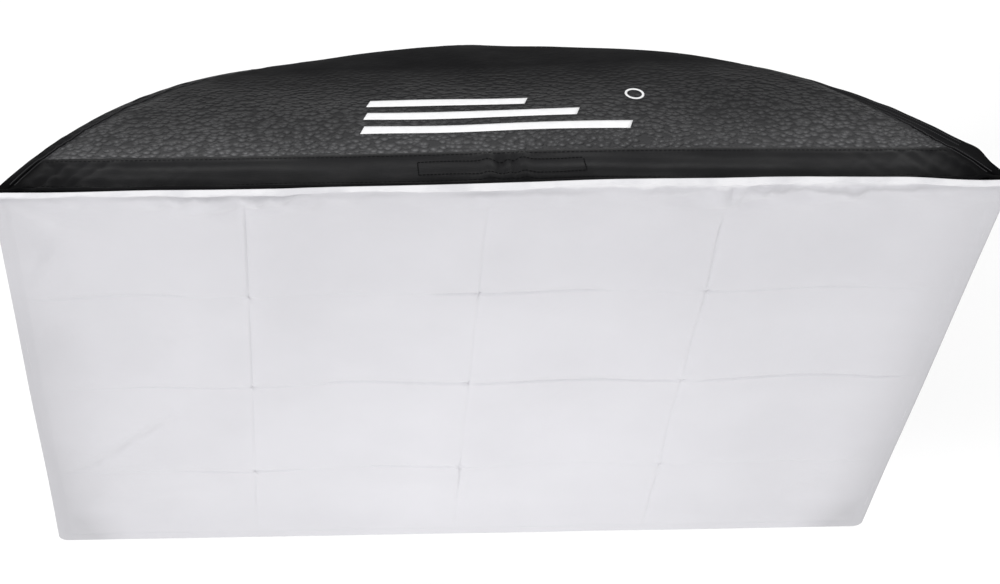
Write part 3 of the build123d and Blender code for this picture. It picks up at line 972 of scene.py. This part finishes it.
def pocket(name, sx, sz):
    steps, sides = 22, 36
    s = np.linspace(0, 1, steps)
    line = on_rod(sx, sz, 0.0125 + 0.0335 * s)
    along = line[-1] - line[0]
    along /= np.linalg.norm(along)
    first = np.cross(along, (0, 1, 0))
    first /= np.linalg.norm(first)
    second = np.cross(along, first)
    angle = np.linspace(0, math.tau, sides + 1)[:-1]
    a, ss = np.meshgrid(angle, s, indexing="ij")
    wrinkle = 0.00025 * np.sin(ss * 26 + 2 * np.sin(a * 2))
    wrinkle = wrinkle + 0.0002 * ripple(a, ss * 2, 151 + sx + 2 * sz, 1.2)
    ray = np.cos(a)[..., None] * first + np.sin(a)[..., None] * second
    outer = line + ray * (POCKET_R + wrinkle - 0.0006 * np.exp(-ss / 0.06))[..., None]
    inner = line + ray * POCKET_IN_R
    piece = tube(f"tip_pocket_{name}", np.concatenate([outer, inner[:, ::-1]], 1), BINDING, closed=True)
    own(piece, "seam_binding", f"corner_pocket_{name}")


for corner_name, (corner_x, corner_z) in CORNERS.items():
    welt(corner_name, corner_x, corner_z)
    pocket(corner_name, corner_x, corner_z)


# ---- inner baffle
BAFFLE_W = 0.470
BAFFLE_H = 0.300
BAFFLE_Y = -0.1505
BAFFLE_THICK = 0.0008
BAFFLE_HEM = 0.012
TAB_W = 0.030
TAB_THICK = 0.0008
TAB_RIBS = 7
TAB_SPOTS = {"top": 0.180, "bottom": 0.180, "left": 0.105, "right": 0.105}


def baffle():
    across = np.linspace(-BAFFLE_W / 2, BAFFLE_W / 2, 150)
    upright = np.linspace(-BAFFLE_H / 2, BAFFLE_H / 2, 110)
    x, z = np.meshgrid(across, upright, indexing="ij")
    edge = np.minimum(BAFFLE_W / 2 - np.abs(x), BAFFLE_H / 2 - np.abs(z))
    relief = 0.0005 * smooth(0.0135 - edge, 0.0, 0.002) - 0.0003 * hump(edge - 0.0145, 0.002)
    relief = relief + 0.0016 * ripple(x, z, 161, 0.2) * smooth(edge, 0, 0.05)
    relief = relief + 0.0004 * ripple(x, z, 162, 0.05) * smooth(edge, 0, 0.02)
    outer = np.stack([x, BAFFLE_Y - BAFFLE_THICK / 2 - relief, z], -1)
    inner = np.stack([x, BAFFLE_Y + BAFFLE_THICK / 2 - relief, z], -1)
    piece = slab("baffle_cloth", outer, inner, BAFFLE_CLOTH)
    own(piece, "baffle_cloth", "inner_baffle", body="baffle")


def baffle_stitches():
    """A stitch row along the hem on all four edges."""
    starts, ends = [], []
    y = BAFFLE_Y - 0.0013
    for sign in (-1, 1):
        for u in np.arange(-BAFFLE_W / 2 + 0.014, BAFFLE_W / 2 - 0.016, STITCH_PITCH):
            at = sign * (BAFFLE_H / 2 - BAFFLE_HEM)
            starts.append((u, y, at))
            ends.append((u + STITCH_LENGTH, y, at))
        for w in np.arange(-BAFFLE_H / 2 + 0.014, BAFFLE_H / 2 - 0.016, STITCH_PITCH):
            at = sign * (BAFFLE_W / 2 - BAFFLE_HEM)
            starts.append((at, y, w))
            ends.append((at, y, w + STITCH_LENGTH))
    starts, ends = np.array(starts), np.array(ends)
    facing = np.tile((0.0, -1.0, 0.0), (len(starts), 1))
    row = dashes("baffle_stitches", starts, ends, facing, THREAD, WHITE_THREAD)
    own(row, "baffle_cloth", body="baffle")


def tabs():
    """Eight ribbed elastic tabs of the baffle, and the black tapes that hold them on the lining."""
    elastics, loops = [], []
    spots = [(side, sign * at) for side, at in TAB_SPOTS.items() for sign in (-1, 1)]
    for k, (side, at) in enumerate(spots):
        edge = BAFFLE_H / 2 if side in ("top", "bottom") else BAFFLE_W / 2
        half, height, crown = station(side, BAFFLE_Y)
        top = height + crown * (1 - ((abs(at) + TAB_W / 2) / half) ** 2) - 0.0035
        for made, v0, v1, y0, mat, wave, waist in (
            (elastics, edge - 0.008, edge + 0.016, BAFFLE_Y - 0.0002, WHITE_ELASTIC, 0.0005, 0.12),
            (loops, edge + 0.006, top, BAFFLE_Y + 0.0013, BLACK_TAPE, 0.0, 0.0),
        ):
            u, v = np.meshgrid(np.linspace(-TAB_W / 2, TAB_W / 2, 16), np.linspace(v0, v1, 18), indexing="ij")
            ribs = wave * np.sin((u / TAB_W + 0.5) * math.pi * TAB_RIBS)
            y = y0 - (ribs + 0.0002 * ripple(u, v, 171 + k, 0.02)) * 0.5
            across = at + u * (1 - waist * np.sin((v - v0) / (v1 - v0) * math.pi))
            faces = [place(side, across, y + off, v) for off in (-TAB_THICK / 2, TAB_THICK / 2)]
            made.append(slab("tab", *faces, mat))
    own(join("baffle_elastics", elastics), "baffle_cloth", "baffle_tabs", body="baffle")
    own(join("baffle_loops", loops), "fastener_tape", "baffle_anchors")


tabs()
baffle()
baffle_stitches()


# ---- finishes of the hard parts
def finish_cad(mat, *names):
    for name in names:
        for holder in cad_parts[name].material_slots:
            holder.material = mat


finish_cad(ALLOY, "speed_ring")
finish_cad(INSERT_STEEL, "mount_insert", "insert_retainer")
finish_cad(SCREW_STEEL, "retainer_screws", "socket_screws", "lock_screw")
finish_cad(BRASS, "lock_pad")
finish_cad(PLASTIC, "lock_knob")
for corner_name in CORNERS:
    finish_cad(ROD_STEEL, f"rod_{corner_name}")
    finish_cad(CHROME, f"rod_socket_{corner_name}")
    finish_cad(RUBBER, f"rod_tip_{corner_name}")


# ---- front cloth
CLOTH_Y = -DEPTH - 0.0003
CLOTH_THICK = 0.0006
CLOTH_CORNER_R = 0.010
TINY = 1e-9
FADE = 0.012
ROW_W = 0.225
ROW_H = 0.150

# Pressed folds: place, then the stretches along it (start, stop, strength).
FOLD_X = {
    -0.230: ((-0.230, -0.170, 0.30), (-0.120, -0.020, 0.20), (0.000, 0.120, 0.50), (0.160, 0.285, 0.70)),
    -0.013: ((-0.220, -0.140, 0.60), (0.020, 0.280, 0.10)),
    0.203: ((-0.290, -0.180, 0.55), (-0.150, 0.100, 0.40), (0.120, 0.250, 0.80)),
}
FOLD_Z = {
    -0.158: ((-0.310, -0.180, 0.80), (-0.110, -0.005, 0.70)),
    -0.002: ((-0.350, -0.190, 0.60), (-0.160, 0.200, 1.10), (0.220, 0.430, 0.90)),
    0.148: ((-0.440, -0.290, 0.60), (-0.050, 0.105, 0.95), (0.200, 0.360, 0.45)),
}


def crease(distance, width):
    """Sharp profile of a fold, 1 on its line."""
    return np.exp(-np.abs(distance) / width)


def pressed_folds(across, along, folds, seed, wander, depth, row):
    """Parallel folds, each a sharp groove with a small step across it and a soft shoulder beside it."""
    relief = 0.0
    for k, (at, stretches) in enumerate(folds.items()):
        distance = across - at - wander * ripple(along, 0 * along, seed + k, 0.45)
        power = 0.18 + 0.08 * ripple(along, 0 * along, seed + 10 + k, 0.06)
        for start, stop, strength in stretches:
            shown = between(along, start - FADE, start + FADE, stop - FADE, stop + FADE)
            power = power + strength * shown
        groove = 0.0010 * crease(distance, 0.0013)
        step = 0.0008 * np.tanh(distance / 0.0009) * crease(distance, 0.007)
        shoulder = 0.0008 * crease(distance + 0.005, 0.014)
        relief = relief - depth * power * (groove + step + shoulder)
        relief = relief + 0.0007 * np.cos(distance * math.tau / row)
    return relief


def short_crease(x, z, start, end, width, height):
    """A crease along a straight run that fades at both ends."""
    (x0, z0), (x1, z1) = start, end
    run = np.hypot(x1 - x0, z1 - z0)
    ex, ez = (x1 - x0) / run, (z1 - z0) / run
    along = ((x - x0) * ex + (z - z0) * ez) / run
    aside = (z - z0) * ex - (x - x0) * ez + 0.004 * np.sin(along * 5)
    return height * crease(aside, width) * smooth(along, -0.15, 0.3) * smooth(1 - along, -0.15, 0.3)


# Creases outside the pressed folds: start, end, width, height.
STRAY_CREASES = (
    ((-0.445, -0.170), (-0.300, -0.060), 0.003, -0.0032),
    ((-0.430, -0.140), (-0.265, -0.020), 0.005, 0.0022),
    ((-0.420, -0.250), (-0.300, -0.200), 0.005, 0.0018),
    ((-0.445, 0.145), (-0.395, 0.240), 0.003, -0.0034),
    ((-0.430, 0.190), (-0.380, 0.285), 0.004, 0.0020),
    ((-0.380, 0.010), (-0.270, 0.110), 0.007, 0.0012),
    ((0.330, -0.240), (0.440, -0.120), 0.006, 0.0012),
    ((0.240, 0.190), (0.420, 0.235), 0.006, 0.0010),
)


def cloth_relief(x, z):
    """How far the stretched cloth stands out towards the front."""
    edge_x = FRONT_W / 2 - np.abs(x)
    edge_z = FRONT_H / 2 - np.abs(z)
    edge = np.minimum(edge_x, edge_z)
    relief = 0.0018 * ripple(x, z, 71, 0.34) + 0.0006 * ripple(x, z, 72, 0.08)
    relief = relief + pressed_folds(x, z, FOLD_X, 80, 0.003, 1.0, ROW_W)
    relief = relief + pressed_folds(z, x, FOLD_Z, 100, 0.002, 1.15, ROW_H)
    for fx in FOLD_X:
        for fz in FOLD_Z:
            r = np.hypot(x - fx, z - fz)
            turn = np.arctan2(z - fz, x - fx)
            relief = relief + 0.0010 * np.exp(-r / 0.009) * np.cos(3 * turn + 9 * fx + 5 * fz)
    for start, end, width, height in STRAY_CREASES:
        relief = relief + short_crease(x, z, start, end, width, height)
    for sx, sz, size in ((-1, 1, 1.2), (-1, -1, 1.3), (1, -1, 0.6), (1, 1, 0.8)):
        dx, dz = (FRONT_W / 2 - sx * x), (FRONT_H / 2 - sz * z)
        r = np.hypot(dx, dz)
        fan = np.sin(np.arctan2(dz, dx) * 7 + 2.2 * sx) * np.exp(-r / 0.09)
        relief = relief + 0.0024 * size * fan * smooth(r, 0.01, 0.04)
    relief = relief * smooth(edge, 0.0, 0.05) + top_hem(x, FRONT_H / 2 - z) + side_hem(edge, z)
    return np.where(edge < 0.012, np.maximum(relief, 0.0), relief)


def top_hem(x, down):
    """The full, wavy hem along the top edge and the gathers that hang from it."""
    height = 0.0062 + 0.0014 * ripple(x, 0 * x, 121, 0.16)
    puff = 0.0036 + 0.0010 * ripple(x, 0 * x, 122, 0.09) + 0.0005 * ripple(x, 0 * x, 123, 0.025)
    roll = puff * np.sqrt(np.clip(1 - ((down - height * 0.5) / (height * 0.5)) ** 2, 0, 1))
    groove = -0.0020 * hump(down - height * 1.2, 0.0022)
    full = 0.35 + 0.9 * between(x, 0.10, 0.2, 0.3, 0.4) + 0.9 * between(x, -0.33, -0.28, -0.2, -0.12)
    gather = 0.0050 * full * np.abs(ripple(x, down * 0.7, 124, 0.034)) * hump(down - 0.015, 0.008)
    swag = 0.0034 * full * ripple(x, down * 2.5, 125, 0.07) * hump(down - 0.022, 0.012)
    return roll + groove + gather + swag


def side_hem(edge, z):
    """Flat hem along the other three edges."""
    roll = 0.0004 * np.sqrt(np.clip(1 - ((edge - 0.006) / 0.006) ** 2, 0, 1))
    groove = -0.0002 * hump(edge - 0.0135, 0.003)
    below_top = smooth(FRONT_H / 2 - z, 0.008, 0.02)
    return (roll + groove) * below_top


def cloth_lines(half, folds, count, ends):
    """Grid lines across the cloth, closer together at its folds and its edges."""
    fine = np.concatenate([np.arange(-0.0044, 0.0045, 0.0008), (-0.0105, -0.0075, 0.0075, 0.0105)])
    lines = [np.linspace(-half, half, count)]
    lines += [fold + fine for fold in folds]
    lines += [half - ends, -half + ends]
    lines = np.unique(np.round(np.concatenate(lines), 5))
    keep = np.concatenate([[True], np.diff(lines) > 0.0006])
    keep[-1] = True
    return lines[keep]


def front_cloth():
    top = np.concatenate([np.arange(0, 0.014, 0.0011), np.arange(0.014, 0.034, 0.0022)])
    across = cloth_lines(FRONT_W / 2, FOLD_X, 150, np.arange(0, 0.016, 0.002))
    upright = cloth_lines(FRONT_H / 2, FOLD_Z, 90, top)
    x, z = np.meshgrid(across, upright, indexing="ij")
    relief = cloth_relief(x, z)
    dx = np.clip(np.abs(x) - (FRONT_W / 2 - CLOTH_CORNER_R), 0, None)
    dz = np.clip(np.abs(z) - (FRONT_H / 2 - CLOTH_CORNER_R), 0, None)
    reach = np.hypot(dx, dz)
    scale = np.where(reach > TINY, np.maximum(dx, dz) / np.maximum(reach, TINY), 1.0)
    xx = np.sign(x) * (np.abs(x) - dx + dx * scale)
    zz = np.sign(z) * (np.abs(z) - dz + dz * scale)
    over = 0.0030 + 0.0006 * ripple(z, 0 * z, 131, 0.14)
    xx = xx + np.sign(x) * over * smooth(np.abs(x), FRONT_W / 2 - 0.03, FRONT_W / 2)
    wave = np.where(z > 0, 0.0016, -0.0004) * ripple(x, 0 * x, 132, 0.20)
    top_rise = 0.0010 + 0.0050 * between(x, 0.02, 0.17, 0.35, 0.43) + 0.0050 * hump(x - 0.05, 0.20)
    ride_up = np.where(z > 0, top_rise, -0.0024)
    zz = zz + (wave + ride_up) * smooth(np.abs(z), FRONT_H / 2 - 0.03, FRONT_H / 2)
    outer = np.stack([xx, CLOTH_Y - 2 * CLOTH_THICK - relief, zz], -1)
    inner = np.stack([xx, CLOTH_Y - CLOTH_THICK - relief, zz], -1)
    piece = slab("front_cloth", outer, inner, CLOTH)
    own(piece, "diffuser_cloth", "front_diffuser", body="front_cloth")


front_cloth()


TAPE_THICK = 0.0008
TAPE_END_GAP = 0.045
TAPE_REAR_Y = -DEPTH + 0.015


def strips(name, mat, front_y, lift):
    """Tape along the inside of all four sides."""
    made = []
    y = np.linspace(front_y, TAPE_REAR_Y, 6)
    for side in SIDES:
        t = span(side, y, TAPE_END_GAP, 120)
        wave = 0.0002 * ripple(t * 0.4, 0 * t, SEED[side] + 9, 0.03) + bow(side, t * station(side, y)[0])
        made.append(skin(f"{name}_{side}", side, t, y[None, :], lift + wave, TAPE_THICK, mat))
    return join(name, made)


loop_tape = strips("lip_loop_tape", BLACK_TAPE, -DEPTH + 0.002, -0.0016)
hook_tape = strips("cloth_hook_tape", WHITE_TAPE, -DEPTH - 0.0004, -0.0027)
own(loop_tape, "fastener_tape", "lip_velcro")
own(hook_tape, "hem_webbing", "diffuser_hem", body="front_cloth")


# ---- stage, light and camera
def stage():
    """Plain pale floor well below the part."""
    size, level = 30.0, -0.95
    corners = [(-size, -size, level), (size, -size, level), (size, size, level), (-size, size, level)]
    white = material("floor_white", (0.95, 0.95, 0.95), 0.9, specular=0.0)
    add_mesh("floor", corners, [(0, 1, 2, 3)], white, shade_smooth=False)


def area(name, at, target, size, power):
    light = bpy.data.lights.new(name, "AREA")
    light.shape = "RECTANGLE"
    light.size, light.size_y = size
    light.energy = power
    obj = put(name, light)
    obj.location = at
    obj.rotation_euler = (Vector(target) - Vector(at)).to_track_quat("-Z", "Y").to_euler()
    obj.visible_camera = False


def lights():
    """A pale sky that is brightest overhead, and three soft lamps."""
    world = bpy.data.worlds.new("studio")
    bpy.context.scene.world = world
    world.use_nodes = True
    sky = world.node_tree.nodes["Background"]
    sky.inputs["Color"].default_value = (1, 1, 1, 1)
    height = node(world, "SeparateXYZ")
    link(world, node(world, "TexCoord").outputs["Generated"], height.inputs[0])
    link(world, map_range(world, height.outputs["Z"], 0.0, 1.0, 0.50, 1.28), sky.inputs["Strength"])
    area("key", (-3.4, -2.6, 2.6), (0, -0.4, 0), (0.7, 0.7), 75)
    area("fill", (3.4, -2.2, 0.6), (0, -0.4, 0), (0.7, 0.7), 14)
    area("low", (0.03, -1.4, -0.75), (0.02, -0.4, -0.2), (0.5, 0.3), 1.3)


def camera():
    """Above and in front of the box, looking down at its white front and its top panel."""
    place_at = Vector((-0.1955, -1.5092, 1.6138))
    pitch, yaw, roll = 0.9197, 0.0378, 0.0152
    forward = Vector((math.sin(yaw) * math.cos(pitch), math.cos(yaw) * math.cos(pitch), -math.sin(pitch)))
    right = Vector((math.cos(yaw), -math.sin(yaw), 0))
    up = right.cross(forward)
    across = math.cos(roll) * right + math.sin(roll) * up
    upward = math.cos(roll) * up - math.sin(roll) * right
    cam = bpy.data.cameras.new("camera")
    cam.sensor_width = 36.0
    cam.lens = 70.2
    cam.shift_x = 0.17
    cam.clip_start = 0.05
    cam.clip_end = 100
    obj = put("camera", cam)
    axes = Matrix((across, upward, -forward)).transposed().to_4x4()
    obj.matrix_world = Matrix.Translation(place_at) @ axes
    bpy.context.scene.camera = obj


stage()
lights()
camera()
bpy.context.scene.view_settings.view_transform = "Standard"
